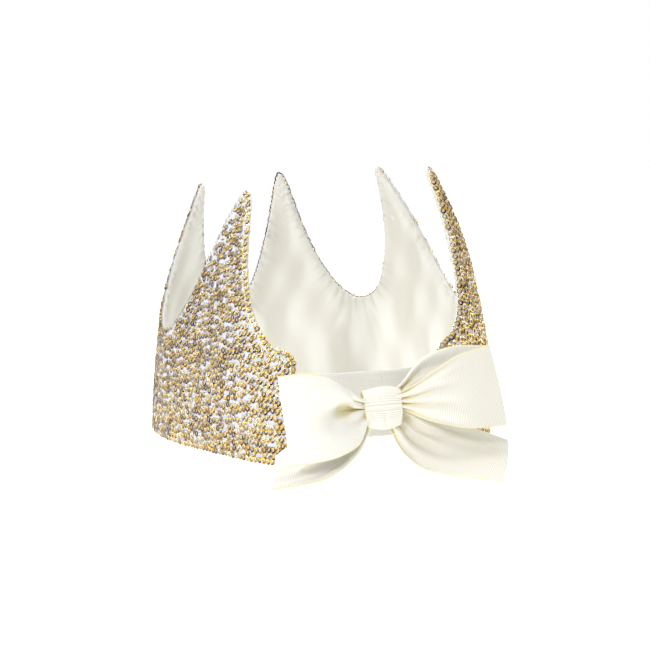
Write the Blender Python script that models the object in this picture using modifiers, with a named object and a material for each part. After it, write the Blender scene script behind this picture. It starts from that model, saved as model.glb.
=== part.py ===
"""Soft dress-up crown: a sequinned five-point band, an elastic back and a ribbon bow.

The band runs clockwise, seen from above, from its left end behind the head, round the front
at +Y, to its right end. An elastic strap closes the ring at -Y, and the bow is tacked to it.
Places on the band are given by the distance along it from the front, and by the height.
"""

import math

import bmesh
import bpy
from mathutils import Vector

MM = 0.001

# Ring, in millimetres. The plan is a circle that is pulled a little out of round.
RING_RADIUS = 89.7
OVAL_ALONG = 0.07
OVAL_SKEW = -0.14
EGG_ALONG = -0.02
EGG_SKEW = 0.01
RING_CENTRE = (5.73, 22.1)
PLAN_STEPS = 720

# The wall leans inward as it rises: a straight part and a slight curl. Its left and right
# sides stand more upright than its front and back, curl more, and stand further in.
LEAN = 0.26
CURL = 0.03
CURL_HEIGHT = 118.0
LEFT_UPRIGHT = 0.18
LEFT_CURL = 0.13
LEFT_SHIFT = 1.5
RIGHT_UPRIGHT = 0.445
RIGHT_CURL = 0.34
RIGHT_SHIFT = 12.0

# The points, from the left end round the front to the right end:
# name, distance of the tip along the band, height of the tip, how far the tip leans back out.
POINTS = [
    ("left_end", -203.0, 116.1, -5.2),
    ("left", -92.0, 120.6, 1.6),
    ("front", -5.8, 122.3, 7.1),
    ("right", 90.7, 122.5, 1.8),
    ("right_end", 190.9, 120.8, 5.5),
]
BAND_START = -261.5
BAND_END = 236.1
VALLEYS = [-145.4, -47.3, 42.45, 140.8]
VALLEY_HEIGHT = 52.0
END_HEIGHT = 47.6
SIDE_POWER = 2.3
END_POWER = 2.75
TIP_ROUNDING = 0.15
CORNER_RADIUS = 6.5
RISE_START = 45.5
PANEL_GAP = 1.2

# Layers of the wall, outside to inside: name, depth of its outer face, thickness, lowest edge.
OUTER = ("outer", 0.0, 1.4, -1.0)
STIFFENER = ("stiffener", 2.0, 0.8, 0.6)
LINING = ("lining", 3.25, 0.6, 0.3)
STIFFENER_SETBACK = 13.0

# Elastic strap: lower and upper edge, thickness, and where its parts meet along the ring.
ELASTIC_LOW = 12.6
ELASTIC_HIGH = 38.6
ELASTIC_DEPTH = 1.75
ELASTIC_THICK = 1.0
ELASTIC_TAB = 11.0
ELASTIC_MIDDLE = (262.0, 278.0)
ELASTIC_GAP = 0.7
SEAM_GAP = 1.6

# Bow, tied of 38 mm ribbon, in the ring's own frame. Each ribbon is a row of cross sections
# with an upper edge, a middle and a lower edge.
RIBBON_THICK = 0.7
KNOT_CENTRE = (15.4, -100.6, 25.4)
KNOT_SIZE = (15.5, 13.0, 17.0)
KNOT_TILT = -math.atan(LEAN)
LEFT_LOOP = [
    ((6.2, -105.0, 31.0), (6.2, -104.4, 26.0), (6.4, -104.8, 21.0)),
    ((-1.0, -112.0, 39.0), (-2.0, -107.6, 27.0), (0.0, -112.4, 15.5)),
    ((-10.0, -117.0, 44.6), (-11.0, -115.0, 27.5), (-6.5, -117.6, 11.6)),
    ((-25.9, -115.0, 45.0), (-24.6, -115.0, 26.5), (-23.0, -115.0, 8.2)),
    ((-24.9, -111.4, 44.8), (-23.6, -111.4, 26.5), (-22.0, -111.4, 8.6)),
    ((-12.0, -107.6, 43.0), (-12.0, -106.4, 27.0), (-9.0, -106.8, 12.0)),
    ((6.2, -101.4, 31.0), (6.2, -101.4, 26.0), (6.4, -101.6, 21.0)),
]
RIGHT_LOOP = [
    ((24.8, -105.0, 33.0), (24.8, -104.8, 29.0), (24.8, -105.2, 24.6)),
    ((30.0, -109.0, 39.6), (30.0, -107.4, 31.0), (29.6, -110.8, 22.4)),
    ((39.0, -109.0, 47.0), (38.0, -112.0, 33.0), (37.0, -115.0, 19.8)),
    ((59.6, -103.6, 48.0), (61.2, -110.6, 32.6), (62.0, -116.6, 17.0)),
    ((58.2, -101.0, 47.8), (59.6, -106.4, 32.6), (60.4, -112.0, 17.2)),
    ((40.0, -100.6, 46.6), (41.0, -102.4, 33.0), (41.0, -106.0, 20.0)),
    ((24.8, -101.4, 33.0), (24.8, -101.4, 29.0), (24.8, -101.8, 24.6)),
]
LEFT_TAIL = [
    ((4.6, -99.4, 22.4), (6.4, -99.8, 18.0), (8.6, -100.4, 14.6)),
    ((-4.0, -99.6, 22.0), (-3.0, -102.0, 12.6), (1.6, -106.0, 7.4)),
    ((-18.0, -98.4, 15.6), (-15.0, -104.4, 7.6), (-11.4, -115.6, 2.0)),
    ((-29.6, -96.6, 7.8), (-32.0, -108.0, 3.8), (-33.4, -121.0, 1.0)),
]
RIGHT_TAIL = [
    ((25.0, -100.4, 21.4), (23.4, -100.6, 15.6), (18.0, -101.2, 13.4)),
    ((34.0, -100.6, 18.6), (30.0, -104.0, 12.0), (22.6, -107.0, 6.2)),
    ((50.0, -100.6, 14.2), (42.6, -112.0, 9.2), (32.0, -120.6, 2.0)),
    ((66.6, -104.0, 7.0), (62.0, -122.0, 5.2), (55.4, -140.6, 1.0)),
]

# Stitching, as threads that zigzag over the cloth.
THREAD_RADIUS = 0.3
END_STITCHES = 14
STITCH_SWING = 1.2
TACK_STITCHES = 6
TACK_SWING = 2.5
TACK_LOW = 20.0
TACK_HIGH = 29.0

GOLD = (0.72, 0.52, 0.22, 1.0)
WADDING = (0.85, 0.84, 0.80, 1.0)
SATIN = (0.80, 0.78, 0.70, 1.0)
ELASTIC_WHITE = (0.82, 0.79, 0.72, 1.0)
RIBBON_CREAM = (0.88, 0.85, 0.74, 1.0)
THREAD_CREAM = (0.84, 0.80, 0.68, 1.0)


def clear_scene():
    for old in list(bpy.data.objects):
        bpy.data.objects.remove(old, do_unlink=True)


def make_material(name, color, roughness, metallic=0.0):
    material = bpy.data.materials.new(name)
    material.use_nodes = True
    shader = material.node_tree.nodes["Principled BSDF"]
    shader.inputs["Base Color"].default_value = color
    shader.inputs["Roughness"].default_value = roughness
    shader.inputs["Metallic"].default_value = metallic
    return material


def placed(x, y, z):
    """A point given from the ring's centre in millimetres, in the part's frame in metres."""
    return Vector((x + RING_CENTRE[0], y + RING_CENTRE[1], z)) * MM


def ring_radius(turn):
    """Distance from the ring's centre to the wall at an angle from +Y towards +X."""
    shape = 1.0 + OVAL_ALONG * math.cos(2 * turn) + OVAL_SKEW * math.sin(2 * turn)
    shape += EGG_ALONG * math.cos(3 * turn) + EGG_SKEW * math.sin(3 * turn)
    return RING_RADIUS * shape


def walk_ring():
    """Points round the ring with their distance along it, starting at the front."""
    walked = [(0.0, Vector((0.0, ring_radius(0.0))))]
    for step in range(1, PLAN_STEPS + 1):
        turn = 2 * math.pi * step / PLAN_STEPS
        spot = Vector((math.sin(turn), math.cos(turn))) * ring_radius(turn)
        length = walked[-1][0] + (spot - walked[-1][1]).length
        walked.append((length, spot))
    return walked


RING = walk_ring()
PERIMETER = RING[-1][0]


def ring_spot(along):
    """The point of the ring at a distance along it."""
    along = along % PERIMETER
    low, high = 0, len(RING) - 1
    while high - low > 1:
        middle = (low + high) // 2
        if RING[middle][0] <= along:
            low = middle
        else:
            high = middle
    share = (along - RING[low][0]) / (RING[high][0] - RING[low][0])
    return RING[low][1].lerp(RING[high][1], share)


def ring_outward(along):
    """The ring's horizontal normal at a distance along it, pointing out."""
    ahead = ring_spot(along + 1.0) - ring_spot(along - 1.0)
    return Vector((-ahead.y, ahead.x)).normalized()


def neighbour_reach(index, side):
    """How far the cloth of one point reaches from its tip, and how low it is there."""
    tip = POINTS[index][1]
    if side < 0 and index == 0:
        return tip - BAND_START, END_HEIGHT
    if side > 0 and index == len(POINTS) - 1:
        return BAND_END - tip, END_HEIGHT
    valley = VALLEYS[index] if side > 0 else VALLEYS[index - 1]
    return abs(valley - tip), VALLEY_HEIGHT


def top_height(index, along):
    """Height of the cut edge of one point at a distance along the band."""
    tip, peak = POINTS[index][1], POINTS[index][2]
    side = 1 if along >= tip else -1
    reach, low = neighbour_reach(index, side)
    at_end = low == END_HEIGHT
    share = min(abs(along - tip) / reach, 1.0)
    rounded = math.hypot(share, TIP_ROUNDING) - TIP_ROUNDING
    rounded = rounded / (math.hypot(1.0, TIP_ROUNDING) - TIP_ROUNDING)
    height = low + (peak - low) * (1.0 - rounded) ** (END_POWER if at_end else SIDE_POWER)
    from_end = reach * (1.0 - share)
    if at_end and from_end < CORNER_RADIUS:
        drop = CORNER_RADIUS - math.sqrt(CORNER_RADIUS**2 - (CORNER_RADIUS - from_end) ** 2)
        height -= drop
    return height


def wall_point(index, along, height, depth):
    """A point of the wall, depth millimetres inside its outer face, in metres."""
    outward = ring_outward(along)
    left, right = max(-outward.x, 0.0) ** 2, max(outward.x, 0.0) ** 2
    lean = (LEAN - LEFT_UPRIGHT * left - RIGHT_UPRIGHT * right) * height
    lean += (CURL + LEFT_CURL * left + RIGHT_CURL * right) * height * height / CURL_HEIGHT
    lean += LEFT_SHIFT * left + RIGHT_SHIFT * right
    peak, outward_lean = POINTS[index][2], POINTS[index][3]
    rise = max(0.0, (height - RISE_START) / (peak - RISE_START))
    spot = ring_spot(along) + outward * (outward_lean * rise * rise - lean - depth)
    return placed(spot.x, spot.y, height)


def add_object(name, mesh, material, collection):
    thing = bpy.data.objects.new(name, mesh)
    collection.objects.link(thing)
    mesh.materials.append(material)
    mesh.shade_smooth()
    return thing


def sheet_from_grid(name, columns, rows, place, thick, material, collection, offset=-1.0):
    """A sheet whose grid is put in place by a function, thickened with Solidify."""
    mesh = bpy.data.meshes.new(name)
    grid = bmesh.new()
    bmesh.ops.create_grid(grid, x_segments=columns, y_segments=rows, size=0.5)
    for vertex in grid.verts:
        vertex.co = place(vertex.co.x + 0.5, vertex.co.y + 0.5)
    bmesh.ops.recalc_face_normals(grid, faces=grid.faces)
    grid.to_mesh(mesh)
    grid.free()
    thing = add_object(name, mesh, material, collection)
    shell = thing.modifiers.new("thickness", "SOLIDIFY")
    shell.thickness = thick * MM
    shell.offset = offset
    shell.use_even_offset = True
    return thing


def face_outward(thing, centre):
    """Turns the open sheet so that its faces look away from a centre line."""
    mesh = thing.data
    facing = 0.0
    for face in mesh.polygons:
        away = Vector((face.center.x - centre[0] * MM, face.center.y - centre[1] * MM, 0.0))
        facing += away.dot(face.normal) * face.area
    if facing < 0:
        mesh.flip_normals()


def build_floor_cutter(collection):
    """A block under the crown that trims the outer cloth's lower edge flat."""
    bpy.ops.mesh.primitive_cube_add(size=1.0)
    cutter = bpy.context.object
    cutter.name = "floor_cutter"
    cutter.scale = (0.4, 0.4, 0.02)
    cutter.location.z = -0.01
    cutter.display_type = "WIRE"
    cutter.hide_render = True
    for owner in list(cutter.users_collection):
        owner.objects.unlink(cutter)
    collection.objects.link(cutter)
    return cutter


def build_panel(index, layer, material, collection, cutter):
    """One point's share of one layer of the wall. The outer cloth stands on its trimmed edge."""
    layer_name, depth, thick, low_edge = layer
    name, tip = POINTS[index][0], POINTS[index][1]
    left = tip - neighbour_reach(index, -1)[0]
    right = tip + neighbour_reach(index, 1)[0]
    left += 0.0 if index == 0 else PANEL_GAP / 2
    right -= 0.0 if index == len(POINTS) - 1 else PANEL_GAP / 2
    if layer is STIFFENER:
        left += STIFFENER_SETBACK if index == 0 else 0.0
        right -= STIFFENER_SETBACK if index == len(POINTS) - 1 else 0.0
    top_setback = 0.0 if layer is OUTER else 0.6

    def place(across, up):
        swing = 2.0 * across - 1.0
        reach = right - tip if swing > 0 else tip - left
        along = tip + math.copysign(abs(swing) ** 1.45, swing) * reach
        top = top_height(index, along) - top_setback
        return wall_point(index, along, low_edge + (top - low_edge) * up, depth)

    panel = sheet_from_grid(
        f"{layer_name}_{name}", 14, 7, place, thick, material, collection
    )
    face_outward(panel, RING_CENTRE)
    if layer is OUTER:
        trim = panel.modifiers.new("flat_edge", "BOOLEAN")
        trim.operation = "DIFFERENCE"
        trim.solver = "EXACT"
        trim.object = cutter
    return panel


def build_strap(name, start, end, columns, material, collection):
    """A stretch of the flat elastic, which follows the ring."""
    def place(across, up):
        height = ELASTIC_LOW + (ELASTIC_HIGH - ELASTIC_LOW) * up
        return wall_point(0, start + (end - start) * across, height, ELASTIC_DEPTH)

    strap = sheet_from_grid(name, columns, 3, place, ELASTIC_THICK, material, collection)
    face_outward(strap, RING_CENTRE)
    return strap


def build_elastic(material, collection):
    """The elastic, in the five stretches that move against each other when it stretches."""
    left_edge = PERIMETER + BAND_START
    right_edge = BAND_END
    middle_right, middle_left = ELASTIC_MIDDLE
    build_strap(
        "elastic_right_end", right_edge - ELASTIC_TAB, right_edge - 0.3, 3, material, collection
    )
    build_strap(
        "elastic_right_run", right_edge + SEAM_GAP, middle_right - ELASTIC_GAP, 6, material, collection
    )
    build_strap("elastic_middle", middle_right, middle_left, 4, material, collection)
    build_strap(
        "elastic_left_run", middle_left + ELASTIC_GAP, left_edge - SEAM_GAP, 8, material, collection
    )
    build_strap(
        "elastic_left_end", left_edge + 0.3, left_edge + ELASTIC_TAB, 3, material, collection
    )


def curve_through(points, share):
    """A point of the smooth curve through all the points, at a share of its course."""
    spans = len(points) - 1
    reach = min(share * spans, spans - 1e-9)
    span = int(reach)
    t = reach - span
    before = points[max(span - 1, 0)]
    start = points[span]
    end = points[span + 1]
    after = points[min(span + 2, spans)]
    bend = (end - before) * t + (before * 2 - start * 5 + end * 4 - after) * t * t
    bend += (start * 3 - before - end * 3 + after) * t * t * t
    return start + bend * 0.5


def build_ribbon(name, sections, columns, material, collection):
    """A bent ribbon through its cross sections, thickened to both sides."""
    rails = [[placed(*section[rail]) for section in sections] for rail in range(3)]

    def place(across, up):
        lower, middle, upper = (curve_through(rails[rail], across) for rail in (2, 1, 0))
        return (
            lower * (2 * (up - 0.5) * (up - 1.0))
            + middle * (4 * up * (1.0 - up))
            + upper * (2 * up * (up - 0.5))
        )

    return sheet_from_grid(name, columns, 5, place, RIBBON_THICK, material, collection, 0.0)


def build_knot(material, collection):
    """The ribbon wrapped round the middle of the bow, as a soft block."""
    mesh = bpy.data.meshes.new("bow_knot")
    block = bmesh.new()
    bmesh.ops.create_cube(block, size=1.0)
    for vertex in block.verts:
        vertex.co = Vector([vertex.co[axis] * KNOT_SIZE[axis] * MM for axis in range(3)])
    bmesh.ops.bevel(
        block, geom=block.edges[:], offset=3.2 * MM, segments=3, profile=0.5, affect="EDGES"
    )
    block.to_mesh(mesh)
    block.free()
    knot = add_object("bow_knot", mesh, material, collection)
    knot.location = placed(*KNOT_CENTRE)
    knot.rotation_euler.x = KNOT_TILT
    return knot


def build_thread(name, route, material, collection):
    """One thread that runs through the points of its route, as a fine round tube."""
    curve = bpy.data.curves.new(name, "CURVE")
    curve.dimensions = "3D"
    curve.bevel_depth = THREAD_RADIUS * MM
    curve.bevel_resolution = 1
    curve.use_fill_caps = True
    spline = curve.splines.new("POLY")
    spline.points.add(len(route) - 1)
    for point, spot in zip(spline.points, route):
        point.co = (spot.x, spot.y, spot.z, 1.0)
    thread = bpy.data.objects.new(name, curve)
    collection.objects.link(thread)
    curve.materials.append(material)
    return thread


def zigzag(index, along, half_width, low, high, turns, depth):
    """A sewn zigzag between two heights, on the inner side of the wall."""
    route = []
    for turn in range(turns + 1):
        side = half_width if turn % 2 else -half_width
        height = low + (high - low) * turn / turns
        route.append(wall_point(index, along + side, height, depth))
    return route


def build_stitching(material, collection):
    """The zigzags that hold the ends of the elastic, and the one that tacks the bow to it."""
    last = len(POINTS) - 1
    sewn_depth = LINING[1] + LINING[2] + THREAD_RADIUS + 0.35
    tack_depth = ELASTIC_DEPTH + ELASTIC_THICK + THREAD_RADIUS + 0.35
    for name, index, along in (
        ("elastic_stitch_left", 0, BAND_START + ELASTIC_TAB / 2),
        ("elastic_stitch_right", last, BAND_END - ELASTIC_TAB / 2),
    ):
        route = zigzag(
            index, along, STITCH_SWING, ELASTIC_LOW + 1.0, ELASTIC_HIGH - 1.0, END_STITCHES, sewn_depth
        )
        build_thread(name, route, material, collection)
    middle = sum(ELASTIC_MIDDLE) / 2
    route = zigzag(last, middle, TACK_SWING, TACK_LOW, TACK_HIGH, TACK_STITCHES, tack_depth)
    build_thread("bow_tack_stitch", route, material, collection)


def main():
    clear_scene()
    parts = bpy.data.collections.new("crown")
    cutters = bpy.data.collections.new("cutters")
    bpy.context.scene.collection.children.link(parts)
    bpy.context.scene.collection.children.link(cutters)
    sequin_cloth = make_material("sequin_cloth", GOLD, 0.35, 0.8)
    wadding = make_material("stiffening", WADDING, 0.95)
    satin = make_material("lining_satin", SATIN, 0.45)
    strap = make_material("elastic_weave", ELASTIC_WHITE, 0.85)
    ribbon = make_material("grosgrain", RIBBON_CREAM, 0.7)
    thread = make_material("thread", THREAD_CREAM, 0.6)

    cutter = build_floor_cutter(cutters)
    for index in range(len(POINTS)):
        build_panel(index, OUTER, sequin_cloth, parts, cutter)
        build_panel(index, STIFFENER, wadding, parts, cutter)
        build_panel(index, LINING, satin, parts, cutter)
    build_elastic(strap, parts)
    build_ribbon("bow_left_loop", LEFT_LOOP, 26, ribbon, parts)
    build_ribbon("bow_right_loop", RIGHT_LOOP, 26, ribbon, parts)
    build_ribbon("bow_left_tail", LEFT_TAIL, 12, ribbon, parts)
    build_ribbon("bow_right_tail", RIGHT_TAIL, 12, ribbon, parts)
    build_knot(ribbon, parts)
    build_stitching(thread, parts)


main()
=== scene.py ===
"""Soft dress-up crown: sequinned cloth points, satin lining, elastic back and a ribbon bow."""

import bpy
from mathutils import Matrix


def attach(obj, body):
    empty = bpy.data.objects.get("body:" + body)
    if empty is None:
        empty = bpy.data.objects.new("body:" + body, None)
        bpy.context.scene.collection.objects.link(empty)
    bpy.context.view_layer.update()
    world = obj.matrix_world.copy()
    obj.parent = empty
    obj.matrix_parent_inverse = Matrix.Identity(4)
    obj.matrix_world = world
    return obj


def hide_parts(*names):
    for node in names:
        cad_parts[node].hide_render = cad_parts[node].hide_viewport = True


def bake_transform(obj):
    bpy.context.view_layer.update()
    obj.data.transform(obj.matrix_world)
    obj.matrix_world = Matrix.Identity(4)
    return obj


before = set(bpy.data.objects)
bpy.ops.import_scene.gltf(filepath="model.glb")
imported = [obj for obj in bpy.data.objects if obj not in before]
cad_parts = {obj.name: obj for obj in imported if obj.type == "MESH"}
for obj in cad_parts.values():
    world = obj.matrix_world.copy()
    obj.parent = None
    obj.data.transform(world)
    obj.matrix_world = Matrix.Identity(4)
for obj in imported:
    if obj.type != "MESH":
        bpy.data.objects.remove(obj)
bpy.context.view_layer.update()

import math

import bpy
import numpy as np
from mathutils import Matrix, Vector

# Sizes are in millimetres, as in the CAD model; MM turns them into the scene's metres.
MM = 0.001

# -------------------- shape of the band, as in the CAD model
# The lower edge follows an oval ring that is a little skewed and a little egg-shaped.
RING_RADIUS = 89.7
OVAL_ALONG = 0.07
OVAL_SKEW = -0.14
EGG_ALONG = -0.02
EGG_SKEW = 0.01
RING_CENTRE = (5.73, 22.1)
# The wall leans inward with its height and curls further in; its two sides stand more upright.
LEAN = 0.26
CURL = 0.03
CURL_HEIGHT = 118.0
LEFT_UPRIGHT = 0.18
LEFT_CURL = 0.13
LEFT_SHIFT = 1.5
RIGHT_UPRIGHT = 0.445
RIGHT_CURL = 0.34
RIGHT_SHIFT = 12.0
# Places along the band count from the middle of the front, and grow clockwise from above.
TIPS = np.array([-203.0, -92.0, -5.8, 90.7, 190.9])
PEAKS = np.array([116.1, 120.6, 122.3, 122.5, 120.8])
OUTWARD_LEANS = np.array([-5.2, 1.6, 7.1, 1.8, 5.5])
BAND_START = -261.5
BAND_END = 236.1
VALLEY_HEIGHTS = np.array([51.5, 52.0, 53.0, 52.0])
END_HEIGHT = 47.6
LEFT_POWERS = np.array([2.75, 2.3, 1.8, 2.3, 2.3])
RIGHT_POWERS = np.array([2.3, 2.3, 2.3, 2.3, 2.75])
TIP_ROUNDING = 0.15
CORNER_RADIUS = 6.5
RISE_START = 45.5
VALLEYS = np.array([-149.0, -47.3, 42.45, 140.8])
POINT_NAMES = ["left_end", "left", "front", "right", "right_end"]
BODIES = [f"{name}_point" for name in POINT_NAMES]

# -------------------- depths and grids of the cloths
SEAM_DEPTH = 1.5
LINING_DEPTH = 3.45
OUTER_DEPTH = 0.45
LINING_ROUND = 2.6
OUTER_ROUND = 1.6
CORE_DEPTH = 1.8
CORE_THICK = 0.8
CORE_ROWS = 24
CORE_STRIDE = 4
CORE_LOWEST_TOP = 20.0
CORE_INSET = 13.0
CORE_DROP = 9.0
CORE_LOW = 1.5
COLUMNS_PER_SIDE = 90
ROWS = 120
ROW_CROWDING = 0.86

# -------------------- sizes of the sequins
SEQUIN_RADIUS = 1.42
SEQUIN_HOLE = 0.66
SEQUIN_PITCH = 2.65
SEQUIN_ROW_GAP = 2.6
SEQUIN_SIDES = 16
SEQUIN_RIM = 0.12
SEQUIN_LIFT = 0.22
SEQUIN_SHARP = math.radians(75)
# Each circle of a sequin's section: its radius, its height and its share of the sequin's cupping.
SEQUIN_PROFILE = [
    (SEQUIN_HOLE, 0.02, 0.1),
    (SEQUIN_HOLE + SEQUIN_RIM, 0.05, 0.8),
    (SEQUIN_RADIUS - SEQUIN_RIM, 0.05, 1.0),
    (SEQUIN_RADIUS, 0.0, 0.5),
    ((SEQUIN_HOLE + SEQUIN_RADIUS) / 2, -0.04, 0.5),
]
SEQUIN_TURN = np.arange(SEQUIN_SIDES) * 2 * math.pi / SEQUIN_SIDES
# Painted shade on one side of each sequin: the side at this angle from its heading, darker by up to this
# depth.
PAINTED_SHADE_SIDE = math.radians(230)
PAINTED_SHADE_DEPTH = 0.55
# Painted light on each circle of a sequin's section: painted shade at the hole's rim, the outer rim and
# underneath, and a little painted light on the flat ring.
RING_PAINTED_LIGHT = np.array([-0.30, 0.12, 0.12, -0.22, -0.3])
# The share of sequins painted the palest gold, a painted glint as if they caught the light.
PAINTED_GLINT_SHARE = 0.05
BOTTOM_ROW = 1.3
FIRST_ROW = 0.4
ROW_OVERRUN = 6.0
ROW_STEP = 0.25
GAP_TRIES = 60000
ROW_CLEAR = 2.05
GAP_CLEAR = 2.1
EDGE_CLEAR = 0.9
# Neighbours are looked up in cells at least as wide as the clearances above.
CELL = 2.4
# How far to each side of a sequin the cloth's slope is measured.
PROBE = 0.35

rng = np.random.default_rng(11)


def smooth(t):
    t = np.clip(t, 0.0, 1.0)
    return t * t * (3.0 - 2.0 * t)


def hill(value, centre, width):
    """A rounded rise to 1 around a centre."""
    return np.exp(-(((value - centre) / width) ** 2))


# -------------------- the ring and the wall
def ring_table(steps=1440):
    turn = np.linspace(0.0, 2.0 * math.pi, steps + 1)
    shape = 1.0 + OVAL_ALONG * np.cos(2 * turn) + OVAL_SKEW * np.sin(2 * turn)
    shape += EGG_ALONG * np.cos(3 * turn) + EGG_SKEW * np.sin(3 * turn)
    x = RING_RADIUS * shape * np.sin(turn)
    y = RING_RADIUS * shape * np.cos(turn)
    along = np.concatenate([[0.0], np.cumsum(np.hypot(np.diff(x), np.diff(y)))])
    return along, x, y


RING_ALONG, RING_X, RING_Y = ring_table()
PERIMETER = RING_ALONG[-1]


def ring_spot(along):
    along = np.mod(along, PERIMETER)
    return np.interp(along, RING_ALONG, RING_X), np.interp(along, RING_ALONG, RING_Y)


def ring_outward(along):
    ax, ay = ring_spot(along + 1.5)
    bx, by = ring_spot(along - 1.5)
    length = np.hypot(ax - bx, ay - by)
    return -(ay - by) / length, (ax - bx) / length


def point_index(along):
    return np.searchsorted(VALLEYS, along)


def reaches(index):
    """How far each point's cloth reaches to its left and to its right."""
    inner_left = TIPS[index] - VALLEYS[np.maximum(index - 1, 0)]
    inner_right = VALLEYS[np.minimum(index, len(VALLEYS) - 1)] - TIPS[index]
    left = np.where(index == 0, TIPS[0] - BAND_START, inner_left)
    right = np.where(index == len(TIPS) - 1, BAND_END - TIPS[-1], inner_right)
    return left, right


def top_height(along):
    """Height of the cut edge at distances along the band."""
    along = np.asarray(along, float)
    index = point_index(along)
    left, right = reaches(index)
    after = along >= TIPS[index]
    reach = np.where(after, right, left)
    at_end = ((index == 0) & ~after) | ((index == len(TIPS) - 1) & after)
    valley_after = VALLEY_HEIGHTS[np.minimum(index, len(VALLEYS) - 1)]
    valley_before = VALLEY_HEIGHTS[np.maximum(index - 1, 0)]
    between = np.where(after, valley_after, valley_before)
    low = np.where(at_end, END_HEIGHT, between)
    share = np.clip(np.abs(along - TIPS[index]) / reach, 0.0, 1.0)
    full = math.hypot(1.0, TIP_ROUNDING) - TIP_ROUNDING
    rounded = (np.hypot(share, TIP_ROUNDING) - TIP_ROUNDING) / full
    power = np.where(after, RIGHT_POWERS[index], LEFT_POWERS[index])
    height = low + (PEAKS[index] - low) * (1.0 - rounded) ** power
    from_end = reach * (1.0 - share)
    bite = np.clip(CORNER_RADIUS - from_end, 0.0, CORNER_RADIUS)
    drop = CORNER_RADIUS - np.sqrt(CORNER_RADIUS**2 - bite**2)
    return height - np.where(at_end, drop, 0.0) + edge_waver(along)


def edge_waver(along):
    """The cut edge isn't quite even."""
    return 0.35 * np.sin(along / 2.9 + 1.0) * np.sin(along / 11.0) + 0.25 * np.sin(along / 5.3 + 2.0)


def drift(along, height):
    """Slow in and out of the whole wall, which no soft crown is without."""
    rise = smooth(height / 60.0)
    slow = np.sin(along / 17.0 + height / 31.0) + 0.7 * np.sin(along / 9.5 - height / 23.0 + 1.3)
    return 0.55 * rise * slow


def wall_lean(nx, height):
    """How far the wall leans inward: the two sides stand more upright than the front and back."""
    left = np.clip(-nx, 0.0, None) ** 2
    right = np.clip(nx, 0.0, None) ** 2
    slope = LEAN - LEFT_UPRIGHT * left - RIGHT_UPRIGHT * right
    curl = CURL + LEFT_CURL * left + RIGHT_CURL * right
    return slope * height + curl * height * height / CURL_HEIGHT + LEFT_SHIFT * left + RIGHT_SHIFT * right


def off_ring(along, out, height):
    """Points out millimetres outside the ring's line, in metres."""
    x, y = ring_spot(along)
    nx, ny = ring_outward(along)
    return np.stack([x + nx * out + RING_CENTRE[0], y + ny * out + RING_CENTRE[1], height], -1) * MM


def wall(along, height, depth, wander=True):
    """Points of the wall in metres, depth millimetres inside its outer face."""
    along = np.asarray(along, float)
    height = np.asarray(height, float)
    index = point_index(along)
    lean = wall_lean(ring_outward(along)[0], height)
    rise = np.clip((height - RISE_START) / (PEAKS[index] - RISE_START), 0.0, None)
    out = OUTWARD_LEANS[index] * rise * rise - lean - depth
    if wander:
        out = out + drift(along, height)
    return off_ring(along, out, height)


# The free edge as a fine line: up the left end, along the cut edge, down the right end.
END_SAMPLES = 40
TOP_SAMPLES = 3600
TOP_ALONG = np.linspace(BAND_START, BAND_END, TOP_SAMPLES)
LEFT_END = np.linspace(0.0, top_height(BAND_START), END_SAMPLES)
RIGHT_END = np.linspace(top_height(BAND_END), 0.0, END_SAMPLES)
EDGE_ALONG = np.concatenate([np.full(END_SAMPLES, BAND_START), TOP_ALONG, np.full(END_SAMPLES, BAND_END)])
EDGE_HEIGHT = np.concatenate([LEFT_END, top_height(TOP_ALONG), RIGHT_END])
EDGE_RUN = np.concatenate([[0.0], np.cumsum(np.hypot(np.diff(EDGE_ALONG), np.diff(EDGE_HEIGHT)))])
# The points whose distance to the edge is worked out at a time, to save memory.
EDGE_CHUNK = 2000


def edge_distance(along, height):
    """Distance to the nearest free edge, and the place along the top edge that it belongs to."""
    along = np.ravel(along)
    height = np.ravel(height)
    nearest = np.empty(len(along))
    where = np.empty(len(along))
    for start in range(0, len(along), EDGE_CHUNK):
        part = slice(start, start + EDGE_CHUNK)
        gap = (along[part, None] - EDGE_ALONG) ** 2 + (height[part, None] - EDGE_HEIGHT) ** 2
        best = gap.argmin(1)
        nearest[part] = np.sqrt(gap[np.arange(len(best)), best])
        where[part] = EDGE_RUN[best]
    return nearest, where


def quarter(distance, radius):
    """0 at the edge, 1 from one radius in, round between."""
    t = np.clip(distance / radius, 0.0, 1.0)
    return np.sqrt(1.0 - (1.0 - t) ** 2)


def valley_nearness(along):
    gap = np.abs(along[..., None] - VALLEYS).min(-1)
    return hill(gap, 0.0, 16.0)


def puckers(where):
    """Ripples that run square to a sewn edge, at distances along that edge."""
    slow = np.sin(where / 7.9 + 0.7 * np.sin(where / 23.0))
    fine = np.sin(where / 0.83 + 1.6 * np.sin(where / 6.1))
    finer = np.sin(where / 0.49 + 1.1 * np.sin(where / 3.7))
    return (fine + 0.6 * finer) * (0.65 + 0.35 * slow)


def outer_depth(along, height, edge, where):
    from_edge = np.minimum(edge, height)
    depth = SEAM_DEPTH + (OUTER_DEPTH - SEAM_DEPTH) * quarter(from_edge, OUTER_ROUND)
    return depth - 0.10 * puckers(where) * np.exp(-edge / 3.0) * smooth(from_edge)


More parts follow.
